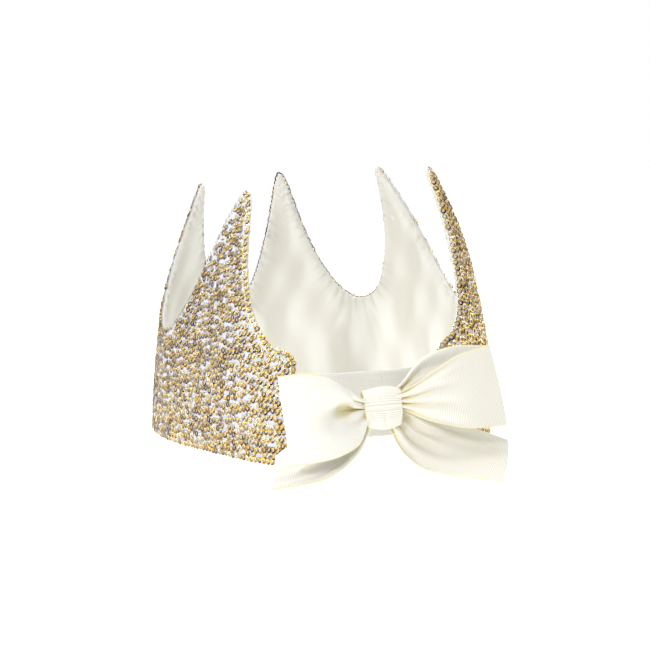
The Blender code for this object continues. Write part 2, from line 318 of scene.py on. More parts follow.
def lining_depth(along, height, edge, where):
    from_edge = np.minimum(edge, height)
    depth = SEAM_DEPTH + (LINING_DEPTH - SEAM_DEPTH) * quarter(from_edge, LINING_ROUND)
    near_valley = valley_nearness(along)
    ripple = 0.5 * np.exp(-edge / 5.5) + 0.55 * near_valley * np.exp(-edge / 12.0)
    held = smooth(from_edge / 1.5)
    depth = depth + ripple * puckers(where) * held
    hem = 0.22 * hill(height, 3.2, 0.7)
    gather = 0.10 * hill(height, 5.5, 3.0) * np.sin(along / 0.9 + np.sin(along / 5.0))
    soft = 0.85 * np.sin(along / 6.3 + height / 26.0) * np.sin(height / 19.0 + along / 31.0)
    soft = soft + 0.4 * np.sin(along / 3.6 - height / 9.0 + 2.0 * np.sin(height / 21.0))
    return depth - hem - gather + (soft + creases(along, height)) * smooth(from_edge / 8.0)


# The soft folds at each valley: how far along the band each starts, and its direction in degrees.
CREASES = [(-7.0, -128.0), (-4.0, -106.0), (3.5, -78.0), (7.0, -50.0), (0.0, -92.0)]


def creases(along, height):
    """Folds that run down and out from each valley, at each one turned a little its own way."""
    total = np.zeros_like(along)
    for k, valley in enumerate(VALLEYS):
        for n, (offset, degrees) in enumerate(CREASES):
            turn = math.radians(degrees + 7.0 * math.sin(3.1 * k + 1.7 * n))
            s = along - valley - offset
            z = height - VALLEY_HEIGHTS[k]
            forward = s * math.cos(turn) + z * math.sin(turn)
            aside = s * math.sin(turn) - z * math.cos(turn)
            reach = hill(forward, 13.0, 15.0) * smooth(forward / 4.0)
            width = 2.2 + 0.05 * np.abs(forward)
            total = total + (0.9 + 0.3 * math.sin(k + n)) * reach * hill(aside, 0.0, width)
    return total


# -------------------- mesh making
TIP_CROWDING = 1.55
CORNER_SHARE = 0.6
CORNER_CROWDING = 0.35


def end_shares(spread, from_tip):
    """Shares of the way from an end point's tip to its free end, closer together at the rounded corner."""
    shares = from_tip + 0.09 * np.sin(math.pi * spread) * spread**2
    shares = shares / shares[-1]
    corner = np.clip((spread - CORNER_SHARE) / (1.0 - CORNER_SHARE), 0.0, 1.0)
    return 1.0 - (1.0 - shares) * (1.0 - CORNER_CROWDING * corner)


def band_columns():
    """Distances along the band, close together at tips and free ends, one list for each segment."""
    spread = np.linspace(0.0, 1.0, COLUMNS_PER_SIDE)
    from_tip = spread**TIP_CROWDING
    to_end = end_shares(spread, from_tip)
    segments = [TIPS[0] - (TIPS[0] - BAND_START) * to_end[::-1]]
    for k, valley in enumerate(VALLEYS):
        falling = TIPS[k] + (valley - TIPS[k]) * from_tip
        rising = TIPS[k + 1] - (TIPS[k + 1] - valley) * from_tip[::-1]
        segments.append(np.concatenate([falling, rising[1:]]))
    segments.append(TIPS[-1] + (BAND_END - TIPS[-1]) * to_end)
    return segments


SEGMENTS = band_columns()
ALL_COLUMNS = np.concatenate([SEGMENTS[0]] + [s[1:] for s in SEGMENTS[1:]])


def row_shares():
    """Shares of the height, close together at the lower edge and at the cut edge."""
    v = np.linspace(0.0, 1.0, ROWS)
    return v - ROW_CROWDING * np.sin(2 * math.pi * v) / (2 * math.pi)


def grid_normals(points):
    du = np.gradient(points, axis=0)
    dv = np.gradient(points, axis=1)
    n = np.cross(du, dv)
    return n / np.maximum(np.linalg.norm(n, axis=-1, keepdims=True), 1e-12)


def mesh_from(name, vertices, quads, material, uv=None, normals=None):
    mesh = bpy.data.meshes.new(name)
    vertices = np.asarray(vertices, np.float32).reshape(-1, 3)
    quads = np.asarray(quads, np.int32)
    sides = quads.shape[1]
    mesh.vertices.add(len(vertices))
    mesh.vertices.foreach_set("co", vertices.ravel())
    mesh.loops.add(quads.size)
    mesh.loops.foreach_set("vertex_index", quads.ravel())
    mesh.polygons.add(len(quads))
    mesh.polygons.foreach_set("loop_start", np.arange(len(quads), dtype=np.int32) * sides)
    mesh.update(calc_edges=True)
    if uv is not None:
        layer = mesh.uv_layers.new(name="weave")
        layer.data.foreach_set("uv", np.asarray(uv, np.float32)[quads.ravel()].ravel())
    mesh.shade_smooth()
    mesh.validate()
    if normals is not None:
        mesh.normals_split_custom_set_from_vertices(np.asarray(normals, float).reshape(-1, 3))
    mesh.materials.append(material)
    piece = bpy.data.objects.new(name, mesh)
    bpy.context.scene.collection.objects.link(piece)
    return piece


def add_values(piece, name, values):
    """A number at each of the piece's points, for its material."""
    layer = piece.data.attributes.new(name, "FLOAT", "POINT")
    layer.data.foreach_set("value", values.ravel().astype(np.float32))


def grid_quads(nu, nv, flip=False):
    u, v = np.meshgrid(np.arange(nu - 1), np.arange(nv - 1), indexing="ij")
    a = (u * nv + v).ravel()
    quads = np.stack([a, a + nv, a + nv + 1, a + 1], -1)
    return quads[:, ::-1] if flip else quads


def closed_sheet(name, points, thick, uv, material):
    """A bent sheet of cloth with a rounded rim, from the grid of points of its middle surface."""
    nu, nv = points.shape[:2]
    normals = grid_normals(points)
    half = thick / 2 * MM
    top = points + normals * half
    bottom = points - normals * half
    loop = [(u, 0) for u in range(nu)] + [(nu - 1, v) for v in range(1, nv)]
    loop += [(u, nv - 1) for u in range(nu - 2, -1, -1)] + [(0, v) for v in range(nv - 2, 0, -1)]
    us = np.array([p[0] for p in loop])
    vs = np.array([p[1] for p in loop])
    middle = points[us, vs]
    inside = points[np.clip(us, 1, nu - 2), np.clip(vs, 1, nv - 2)]
    away = middle - inside
    away /= np.maximum(np.linalg.norm(away, axis=-1, keepdims=True), 1e-9)
    rim = middle + away * half * 0.9
    count = nu * nv
    vertices = np.concatenate([top.reshape(-1, 3), bottom.reshape(-1, 3), rim])
    top_ids = us * nv + vs
    bottom_ids = top_ids + count
    rim_ids = np.arange(len(loop)) + 2 * count
    nxt = np.roll(np.arange(len(loop)), -1)
    sides_a = np.stack([top_ids, rim_ids, rim_ids[nxt], top_ids[nxt]], -1)
    sides_b = np.stack([rim_ids, bottom_ids, bottom_ids[nxt], rim_ids[nxt]], -1)
    quads = np.concatenate([grid_quads(nu, nv), grid_quads(nu, nv, True) + count, sides_a, sides_b])
    full_uv = np.concatenate([uv.reshape(-1, 2), uv.reshape(-1, 2), uv[us, vs]])
    return mesh_from(name, vertices, quads, material, full_uv)


# -------------------- materials
def set_inputs(made, inputs):
    """Sets a node's sockets, which are named with _ for each space."""
    for key, value in inputs.items():
        made.inputs[key.replace("_", " ")].default_value = value
    return made


def new_material(name, color, roughness, **inputs):
    material = bpy.data.materials.new(name)
    material.use_nodes = True
    shader = set_inputs(material.node_tree.nodes["Principled BSDF"], inputs)
    shader.inputs["Base Color"].default_value = (*color, 1.0)
    shader.inputs["Roughness"].default_value = roughness
    return material, shader


def node(owner, kind, **inputs):
    """A new node in a material's or the world's tree."""
    return set_inputs(owner.node_tree.nodes.new(kind), inputs)


def feed(owner, value, target, socket):
    """Sets a socket to a number or a colour, or links a (node, output) pair to it."""
    if isinstance(value, tuple) and isinstance(value[0], bpy.types.Node):
        owner.node_tree.links.new(value[0].outputs[value[1]], target.inputs[socket])
    elif isinstance(value, tuple):
        target.inputs[socket].default_value = (*value, 1.0)
    else:
        target.inputs[socket].default_value = value


def mixed(owner, factor, low, high, blend="MIX"):
    """A colour that runs from low to high with a factor."""
    mix = node(owner, "ShaderNodeMix")
    mix.data_type = "RGBA"
    mix.blend_type = blend
    feed(owner, factor, mix, "Factor")
    feed(owner, low, mix, "A")
    feed(owner, high, mix, "B")
    return mix, "Result"


def combined(owner, operation, *values):
    """The result of a sum, product or other operation on numbers and (node, output) pairs."""
    result = node(owner, "ShaderNodeMath")
    result.operation = operation
    for socket, value in enumerate(values):
        feed(owner, value, result, socket)
    return result, "Value"


def ranged(owner, value, low, high, to_low=0.0, to_high=1.0, interpolation="LINEAR"):
    """A value that runs from to_low to to_high while its source runs from low to high."""
    limits = {"From_Min": low, "From_Max": high, "To_Min": to_low, "To_Max": to_high}
    made = node(owner, "ShaderNodeMapRange", **limits)
    made.interpolation_type = interpolation
    feed(owner, value, made, "Value")
    return made, "Result"


def bumped(material, shader, height, strength, distance):
    bump = node(material, "ShaderNodeBump", Strength=strength, Distance=distance)
    feed(material, height, bump, "Height")
    feed(material, (bump, "Normal"), shader, "Normal")


def noise(material, output="Fac", **inputs):
    """Noise in the object's own space."""
    made = node(material, "ShaderNodeTexNoise", **inputs)
    feed(material, (node(material, "ShaderNodeTexCoord"), "Object"), made, "Vector")
    return made, output


def attribute(material, name):
    made = node(material, "ShaderNodeAttribute")
    made.attribute_name = name
    return made, "Fac"


def weave_position(material):
    """The place on the flat cloth, in millimetres."""
    made = node(material, "ShaderNodeUVMap")
    made.uv_map = "weave"
    return made, "UV"


# Blender's wave texture has its period at this length for a scale of 1.
WAVE_SCALE = 0.314


def uv_waves(material, direction, per_unit, distortion=0.0):
    """Even waves over the cloth's own length and width, given in millimetres."""
    wave = node(material, "ShaderNodeTexWave", Scale=per_unit, Distortion=distortion)
    wave.bands_direction = direction
    feed(material, weave_position(material), wave, "Vector")
    return wave, "Fac"


# The gold ramp: its darkest tone is where the painted shade lands, and its palest is the painted glint.
DARKEST_GOLD = (0.09, 0.05, 0.015)
GOLD_TONES = [(0.28, (0.34, 0.17, 0.01)), (0.55, (0.88, 0.56, 0.09)), (0.8, (1.0, 0.78, 0.28))]
PALEST_GOLD = (1.0, 0.96, 0.86)


def gold_material():
    """Gold foil: an attribute holds each sequin's own tone with its painted light: painted shade at its
    rims, underneath and on one side, and a painted glint on a few.
    """
    material, shader = new_material("sequin_gold", (0.83, 0.60, 0.25), 0.2, Metallic=1.0)
    ramp = node(material, "ShaderNodeValToRGB")
    stops = ramp.color_ramp.elements
    stops[0].color = (*DARKEST_GOLD, 1.0)
    stops[1].color = (*PALEST_GOLD, 1.0)
    for position, color in GOLD_TONES:
        stops.new(position).color = (*color, 1.0)
    feed(material, attribute(material, "tone_and_painted_light"), ramp, "Fac")
    feed(material, (ramp, "Color"), shader, "Base Color")
    bumped(material, shader, noise(material, Scale=900.0, Detail=2.0), 0.12, 0.0002)
    return material


def mesh_cloth_material():
    """Fine pale mesh under the sequins: two crossed threads, a little darker in the holes."""
    material, shader = new_material("mesh_cloth", (0.60, 0.66, 0.86), 0.8, Sheen_Weight=0.2)
    threads = combined(material, "MULTIPLY", uv_waves(material, "X", 0.8), uv_waves(material, "Y", 0.8))
    color = mixed(material, threads, (0.82, 0.87, 1.0), (0.66, 0.71, 0.90))
    feed(material, color, shader, "Base Color")
    bumped(material, shader, threads, 0.5, 0.0003)
    return material


def satin_material():
    """Ivory satin with painted highlight and painted shade: lighter on its folds and in cloudy patches,
    darker between them.
    """
    sheen = {"Sheen_Weight": 0.25, "Sheen_Roughness": 0.4}
    material, shader = new_material("ivory_satin", (0.70, 0.67, 0.58), 0.36, Anisotropic=0.5, **sheen)
    cloud = noise(material, Scale=28.0, Detail=3.0, Roughness=0.55)
    height = combined(material, "MULTIPLY_ADD", cloud, 0.8, attribute(material, "fold_painted_light"))
    # Painted highlight and shade: the folds' relief and the cloud lift and lower the satin's colour.
    painted_light_patch = ranged(material, height, -0.4, 1.5, interpolation="SMOOTHSTEP")
    color = mixed(material, painted_light_patch, (0.695, 0.68, 0.61), (0.84, 0.835, 0.78))
    feed(material, color, shader, "Base Color")
    fine = noise(material, Scale=240.0, Detail=4.0, Roughness=0.6)
    threads = combined(material, "MULTIPLY_ADD", uv_waves(material, "X", 1.6, 1.5), 0.35, fine)
    bumped(material, shader, threads, 0.16, 0.0004)
    feed(material, ranged(material, cloud, 0.0, 1.0, 0.26, 0.38), shader, "Roughness")
    return material


def grosgrain_material():
    """Ribbed ribbon: the ribs are in the mesh; the grooves get painted shade, darker and yellower, the
    hollows a yellow painted shade, and the selvedges are yellower.
    """
    glow = {"Subsurface_Weight": 0.12, "Subsurface_Radius": (0.004, 0.003, 0.0015)}
    material, shader = new_material("cream_grosgrain", (0.86, 0.83, 0.72), 0.62, Sheen_Weight=0.3, **glow)
    # Painted shade: the grooves between the ribs are darker and yellower.
    ribs = uv_waves(material, "X", WAVE_SCALE / RIB_PITCH)
    color = mixed(material, ribs, (0.97, 0.965, 0.92), (0.77, 0.745, 0.62))
    cloud = noise(material, "Color", Scale=60.0, Detail=3.0)
    tone = mixed(material, 0.06, color, cloud, "MULTIPLY")
    # Painted shade: the hollows that the occlusion finds turn yellow.
    hollow = node(material, "ShaderNodeAmbientOcclusion", Distance=0.009)
    hollow.samples = 8
    hollow_painted_shade = mixed(material, ranged(material, (hollow, "AO"), 0.12, 0.62), (0.93, 0.83, 0.48), tone)
    split = node(material, "ShaderNodeSeparateXYZ")
    feed(material, weave_position(material), split, "Vector")
    far_side = combined(material, "SUBTRACT", RIBBON_WIDTH, (split, "Y"))
    nearest = combined(material, "MINIMUM", (split, "Y"), far_side)
    edged = mixed(material, ranged(material, nearest, 0.15, 0.75), (0.90, 0.80, 0.50), hollow_painted_shade)
    feed(material, edged, shader, "Base Color")
    bumped(material, shader, uv_waves(material, "Y", 0.9, 2.0), 0.15, 0.0002)
    return material


def elastic_material():
    material, shader = new_material("woven_elastic", (0.80, 0.77, 0.69), 0.85, Sheen_Weight=0.2)
    both = combined(material, "ADD", uv_waves(material, "Y", 0.50), uv_waves(material, "X", 0.62))
    weave = ranged(material, both, 0.0, 2.0)
    feed(material, mixed(material, weave, (0.84, 0.82, 0.74), (0.97, 0.965, 0.93)), shader, "Base Color")
    bumped(material, shader, weave, 0.7, 0.0004)
    return material


def felt_material():
    material, shader = new_material("stiffening_felt", (0.82, 0.80, 0.75), 0.95)
    fibres = noise(material, Scale=420.0, Detail=6.0, Roughness=0.7)
    feed(material, mixed(material, fibres, (0.74, 0.72, 0.66), (0.87, 0.86, 0.82)), shader, "Base Color")
    bumped(material, shader, fibres, 0.4, 0.0003)
    return material


def thread_material():
    material, shader = new_material("sewing_thread", (0.84, 0.80, 0.68), 0.6)
    twist = node(material, "ShaderNodeTexWave", Scale=700.0, Distortion=1.0)
    twist.bands_direction = "DIAGONAL"
    feed(material, (node(material, "ShaderNodeTexCoord"), "Object"), twist, "Vector")
    strands = (twist, "Fac")
    feed(material, mixed(material, strands, (0.72, 0.67, 0.54), (0.90, 0.87, 0.77)), shader, "Base Color")
    bumped(material, shader, strands, 0.5, 0.0001)
    return material


# -------------------- the band
def ride_segment(piece, segment):
    """Each segment runs from one tip to the next; the two end segments ride on the end points' bodies, and
    the rest are baked where they stand.
    """
    if segment in (0, len(VALLEYS) + 1):
        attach(piece, BODIES[0 if segment == 0 else -1])
        return
    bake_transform(piece)


def build_layer(name, depth_of, facing_out, material, layer):
    """One of the two cloths, in pieces from tip to tip that share one grid and its normals."""
    shares = row_shares()
    along = np.repeat(ALL_COLUMNS[:, None], ROWS, 1)
    height = top_height(ALL_COLUMNS)[:, None] * shares[None, :]
    edge, where = edge_distance(along, height)
    edge = edge.reshape(along.shape)
    edge[:, -1] = 0.0
    edge[0, :] = 0.0
    edge[-1, :] = 0.0
    where = where.reshape(along.shape)
    depth = depth_of(along, height, edge, where)
    plain = SEAM_DEPTH + (LINING_DEPTH - SEAM_DEPTH) * quarter(np.minimum(edge, height), LINING_ROUND)
    relief = depth - plain
    points = wall(along, height, depth)
    normals = grid_normals(points)
    if facing_out:
        normals = -normals
    start = 0
    pieces = []
    for segment, columns in enumerate(SEGMENTS):
        stop = start + len(columns)
        part = slice(start, stop)
        uv = np.stack([along[part], height[part]], -1).reshape(-1, 2)
        quads = grid_quads(len(columns), ROWS, facing_out)
        piece = mesh_from(f"{name}_{segment + 1}", points[part], quads, material, uv, normals[part])
        # The folds' relief, which the satin turns into painted highlight and shade.
        add_values(piece, "fold_painted_light", relief[part])
        ride_segment(piece, segment)
        pieces.append(piece)
        start = stop - 1
    for segment, piece in enumerate(pieces[:-1]):
        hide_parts(f"{layer}_{POINT_NAMES[segment]}")
    return pieces


def build_core(material):
    """The stiffening between the two cloths, cut back all round from the sewn edge."""
    for segment, columns in enumerate(SEGMENTS):
        inset = np.unique(np.clip(columns, BAND_START + CORE_INSET, BAND_END - CORE_INSET)[::CORE_STRIDE])
        share = np.linspace(0.0, 1.0, CORE_ROWS)
        top = np.maximum(top_height(inset) - CORE_DROP, CORE_LOWEST_TOP) - CORE_LOW
        height = CORE_LOW + top[:, None] * share
        along = np.repeat(inset[:, None], CORE_ROWS, 1)
        points = wall(along, height, CORE_DEPTH)
        uv = np.stack([along, height], -1)
        piece = closed_sheet(f"interlining_{segment + 1}", points, CORE_THICK, uv, material)
        ride_segment(piece, segment)
        if segment < len(POINT_NAMES):
            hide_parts(f"stiffener_{POINT_NAMES[segment]}")


# -------------------- sequins
def wandering_row(height):
    """Centres and headings of one row of sequins that wanders over the cloth at a height."""
    t = np.arange(BAND_START - ROW_OVERRUN, BAND_END + ROW_OVERRUN, ROW_STEP)
    phase = rng.uniform(0.0, 6.28, 6)
    stretch = rng.uniform(0.85, 1.2, 4)
    up = 0.85 * np.sin(t / (2.3 * stretch[0]) + phase[0] + 1.2 * np.sin(t / 9.0 + phase[4]))
    up += 0.75 * np.sin(t / (5.1 * stretch[1]) + phase[1])
    sideways = 0.5 * np.sin(t / (1.6 * stretch[2]) + phase[2]) + 0.5 * np.sin(t / 3.7 + phase[5])
    s = t + sideways
    z = height + up
    run = np.concatenate([[0.0], np.cumsum(np.hypot(np.diff(s), np.diff(z)))])
    stops = np.arange(rng.uniform(0.0, SEQUIN_PITCH), run[-1], SEQUIN_PITCH)
    stops = stops + rng.normal(0.0, 0.16, len(stops))
    return along_line(stops, run, s, z, 0.6)


def along_line(stops, run, s, z, reach):
    """The places of the stops on a line, and the line's heading over a reach on both sides."""
    ds = np.interp(stops + reach, run, s) - np.interp(stops - reach, run, s)
    dz = np.interp(stops + reach, run, z) - np.interp(stops - reach, run, z)
    return np.stack([np.interp(stops, run, s), np.interp(stops, run, z), np.arctan2(dz, ds)], -1)


def sequin_spots():
    """All the sequins' centres and headings: the edge's, the wandering rows' and those in the gaps."""
    rows = np.arange(FIRST_ROW, PEAKS.max() + 4.0, SEQUIN_ROW_GAP)
    spots = np.concatenate([wandering_row(height) for height in rows])
    s, z, _ = spots.T
    between = (s > BAND_START + 0.5) & (s < BAND_END - 0.5)
    spots = spots[between & (z > BOTTOM_ROW) & (z < top_height(s))]
    edge, _ = edge_distance(spots[:, 0], spots[:, 1])
    near = {}
    kept = thin_out(np.concatenate([edge_sequins(), spots[edge > EDGE_CLEAR]]), ROW_CLEAR, near)
    return np.concatenate([kept, thin_out(gap_sequins(), GAP_CLEAR, near)])


def edge_sequins():
    """The sequins nearest the cut edge, which roll over it, and the row along the lower edge."""
    run = np.arange(EDGE_RUN[1], EDGE_RUN[-1], SEQUIN_PITCH)
    run = run + rng.normal(0.0, 0.15, len(run))
    s, z, heading = along_line(run, EDGE_RUN, EDGE_ALONG, EDGE_HEIGHT, 0.8).T
    inset = rng.uniform(0.25, 0.8, len(run))
    s = s + np.sin(heading) * inset
    z = z - np.cos(heading) * inset
    low_s = np.arange(BAND_START + 1.0, BAND_END - 1.0, SEQUIN_PITCH)
    low_z = BOTTOM_ROW + rng.uniform(0.0, 0.3, len(low_s))
    low = np.stack([low_s + rng.normal(0.0, 0.12, len(low_s)), low_z, np.zeros(len(low_s))], -1)
    return np.concatenate([np.stack([s, z, heading], -1)[z > BOTTOM_ROW], low])


def gap_sequins():
    """Candidates all over the cloth; the few with room enough fill the widest gaps."""
    s = rng.uniform(BAND_START + 1.0, BAND_END - 1.0, GAP_TRIES)
    z = rng.uniform(BOTTOM_ROW, PEAKS.max(), GAP_TRIES)
    spots = np.stack([s, z, rng.uniform(-math.pi, math.pi, GAP_TRIES)], -1)
    spots = spots[z < top_height(s) - 1.0]
    edge, _ = edge_distance(spots[:, 0], spots[:, 1])
    return spots[edge > EDGE_CLEAR]


def thin_out(spots, clear, near):
    """Drops the sequins that would lie nearly on top of another; near holds those kept, by cell."""
    kept = []
    for s, z, heading in spots:
        column, row = int(s // CELL), int(z // CELL)
        cells = [(column + i, row + j) for i in (-1, 0, 1) for j in (-1, 0, 1)]
        others = [other for cell in cells for other in near.get(cell, ())]
        if any((s - other[0]) ** 2 + (z - other[1]) ** 2 < clear**2 for other in others):
            continue
        near.setdefault((column, row), []).append((s, z))
        kept.append((s, z, heading))
    return np.array(kept)


def outer_point(along, height):
    edge, where = edge_distance(along, height)
    return wall(along, height, outer_depth(along, height, edge, where))


def unit(vectors):
    return vectors / np.linalg.norm(vectors, axis=1, keepdims=True)


def cloth_axes(s, z):
    """The directions along the cloth, up it and out of it."""
    inner = np.clip(s, BAND_START + PROBE, BAND_END - PROBE)
    ahead = outer_point(inner + PROBE, z) - outer_point(inner - PROBE, z)
    above = outer_point(s, z + PROBE * 0.2) - outer_point(s, np.maximum(z - PROBE, 0.0))
    normal = unit(np.cross(above, ahead))
    ahead = unit(ahead)
    return ahead, np.cross(ahead, normal), normal


def sequin_places(spots):
    """Each sequin's centre and its own three directions: it leans on the next and rolls a little."""
    s, z, heading = spots.T
    count = len(s)
    ahead, above, normal = cloth_axes(s, z)
    run = ahead * np.cos(heading)[:, None] + above * np.sin(heading)[:, None]
    side = np.cross(run, normal)
    lap = np.radians(rng.normal(5.0, 4.0, count))
    roll = np.radians(rng.normal(0.0, 4.5, count))
    facing = unit(normal + run * np.tan(lap)[:, None] + side * np.tan(roll)[:, None])
    run = unit(run - facing * (run * facing).sum(1)[:, None])
    lift = SEQUIN_LIFT + rng.uniform(0.0, 0.16, count)
    centre = outer_point(s, z) + normal * (lift * MM)[:, None]
    return centre, run, np.cross(run, facing), facing


def sequin_points(spots):
    """The points of every sequin, circle by circle of its section."""
    centre, run, side, facing = (part[:, None] for part in sequin_places(spots))
    size = rng.normal(1.0, 0.035, len(spots))[:, None]
    cup = rng.normal(0.10, 0.03, len(spots))[:, None]
    circles = []
    for radius, height, cupped in SEQUIN_PROFILE:
        r = radius * size * MM
        h = (height + cup * cupped) * MM
        circle = centre + run * (np.cos(SEQUIN_TURN) * r)[..., None]
        circles.append(circle + side * (np.sin(SEQUIN_TURN) * r)[..., None] + facing * h[..., None])
    return np.stack(circles, 1)


def sequin_faces():
    """One sequin's faces, which join each circle of its section to the next."""
    k = np.arange(SEQUIN_SIDES)
    after = (k + 1) % SEQUIN_SIDES
    faces = []
    for circle in range(len(SEQUIN_PROFILE)):
        a = circle * SEQUIN_SIDES
        b = (circle + 1) % len(SEQUIN_PROFILE) * SEQUIN_SIDES
        faces.append(np.stack([a + k, b + k, b + after, a + after], -1))
    return np.concatenate(faces)


def sequin_tones_with_painted_light(heading):
    """Each sequin's own tone, with painted shade at its rims, underneath and on one side, and a painted
    glint on a few.
    """
    count = len(heading)
    tone_and_painted_light = np.clip(rng.normal(0.60, 0.21, count), 0.15, 1.0)
    tone_and_painted_light = np.where(rng.uniform(0.0, 1.0, count) < PAINTED_GLINT_SHARE, 1.0, tone_and_painted_light)
    painted_shade = PAINTED_SHADE_DEPTH * smooth(np.cos(SEQUIN_TURN + heading[:, None] - PAINTED_SHADE_SIDE))
    painted_tones = tone_and_painted_light[:, None, None] + RING_PAINTED_LIGHT[None, :, None] - painted_shade[:, None, :]
    return np.clip(painted_tones, 0.0, 1.0).reshape(count, -1)


def build_sequins(material):
    spots = sequin_spots()
    points = sequin_points(spots)
    tones_with_painted_light = sequin_tones_with_painted_light(spots[:, 2])
    faces = sequin_faces()
    points_each = len(SEQUIN_PROFILE) * SEQUIN_SIDES
    segment_of = np.searchsorted(TIPS, spots[:, 0])
    pieces = []
    for segment in range(len(SEGMENTS)):
        mine = np.flatnonzero(segment_of == segment)
        quads = (faces + (np.arange(len(mine)) * points_each)[:, None, None]).reshape(-1, 4)
        piece = mesh_from(f"sequins_{segment + 1}", points[mine].reshape(-1, 3), quads, material)
        add_values(piece, "tone_and_painted_light", tones_with_painted_light[mine])
        piece.data.set_sharp_from_angle(angle=SEQUIN_SHARP)
        ride_segment(piece, segment)
        pieces.append(piece)
    return pieces


# -------------------- elastic
ELASTIC_LOW = 12.6
ELASTIC_HIGH = 38.6
ELASTIC_DEPTH = 2.25
ELASTIC_MIDDLE = 270.0
ELASTIC_TUCK = 4.0
ELASTIC_THICK = 1.0
ELASTIC_ROWS = 27
ELASTIC_STEP = 0.8
ELASTIC_EASE = 8.0


def build_strap(side, start, end, bodies, middle_nodes, sewn_to, material):
    """Half of the elastic, from start to end along the ring's line."""
    along = np.linspace(start, end, int(abs(end - start) / ELASTIC_STEP))
    a, v = np.meshgrid(along, np.linspace(0.0, 1.0, ELASTIC_ROWS), indexing="ij")
    height = ELASTIC_LOW + (ELASTIC_HIGH - ELASTIC_LOW) * v
    from_right = smooth((a - BAND_END) / ELASTIC_EASE)
    from_left = smooth((PERIMETER + BAND_START - a) / ELASTIC_EASE)
    waver = 0.35 * np.sin(a / 6.0 + v * 2.0) * from_right * from_left
    cords = 0.042 * np.cos(v * math.pi * 8)
    out = -wall_lean(ring_outward(a)[0], height) - ELASTIC_DEPTH + waver + cords
    points = off_ring(a, out, height)
    uv = np.stack([a, height], -1)
    piece = closed_sheet(f"elastic_strap_{side}", points, ELASTIC_THICK, uv, material)
    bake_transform(piece)
    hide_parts(f"elastic_{side}_end", f"elastic_{side}_run", *middle_nodes)


def build_elastic(material):
    right_edge = BAND_END - ELASTIC_TUCK
    left_edge = PERIMETER + BAND_START + ELASTIC_TUCK
    right = ("right", right_edge, ELASTIC_MIDDLE, ("elastic_right", "elastic_centre"))
    left = ("left", ELASTIC_MIDDLE, left_edge, ("elastic_centre", "elastic_left"))
    build_strap(*right, [], ["satin_lining_6"], material)
    build_strap(*left, ["elastic_middle"], ["satin_lining_1"], material)


# -------------------- bow
RIBBON_WIDTH = 38.0
RIB_PITCH = 0.62
RIB_HEIGHT = 0.04
RIBBON_THICK = 0.45
PLEATS = 3.5
PLEAT_HEIGHT = 1.2
PLEAT_START = 34.0
PLEAT_FADE = 14.0
PLEAT_SHARE = 0.15
SELVEDGE_SHARE = 0.05
RIBBON_ROWS = 31

# Each ribbon's course: five points across it at each place along it. A point is x, y from BOW_PLANE
# and height, about the ring's centre, and -y is towards the photo's side.
BOW_PLANE = -110.0
LEFT_LOOP = [
    ((12.5, 6.2, 29.0), (12.5, 6.8, 27.6), (12.5, 7.2, 26.2), (12.5, 6.8, 24.8), (12.5, 6.2, 23.4)),
    ((5.6, 3.4, 31.8), (5.4, 4.2, 29.2), (5.4, 7.2, 26.6), (6.6, 4.2, 23.6), (8.2, 3.2, 20.4)),
    ((-1.5, -1.4, 38.2), (0.8, -0.8, 32.6), (-3.0, 6.8, 27.4), (-1.0, -0.8, 21.4), (4.0, -2.4, 14.2)),
    ((-8.0, -5.4, 43.4), (-6.6, -5.8, 35.6), (-8.6, -2.6, 27.4), (-7.2, -6.2, 19.4), (-3.6, -7.0, 11.2)),
    ((-16.0, -7.2, 45.4), (-15.4, -7.4, 36.4), (-15.0, -7.0, 27.4), (-14.4, -7.6, 18.4), (-12.6, -8.0, 9.6)),
    ((-25.6, -5.4, 44.9), (-25.2, -5.4, 35.8), (-24.6, -5.4, 26.6), (-24.0, -5.4, 17.4), (-23.0, -5.4, 8.4)),
    ((-25.6, -3.6, 44.8), (-25.2, -3.6, 35.8), (-24.6, -3.6, 26.6), (-24.0, -3.6, 17.4), (-23.0, -3.6, 8.4)),
    ((-12.0, 1.6, 43.0), (-12.0, 3.0, 35.4), (-12.0, 4.6, 27.6), (-11.0, 3.4, 19.8), (-9.0, 2.4, 12.0)),
    ((5.4, 8.4, 31.0), (5.4, 8.8, 28.6), (5.4, 9.2, 26.4), (5.6, 8.8, 24.0), (6.0, 8.2, 21.8)),
    ((12.5, 8.4, 29.0), (12.5, 8.6, 27.6), (12.5, 8.8, 26.2), (12.5, 8.6, 24.8), (12.5, 8.4, 23.4)),
]
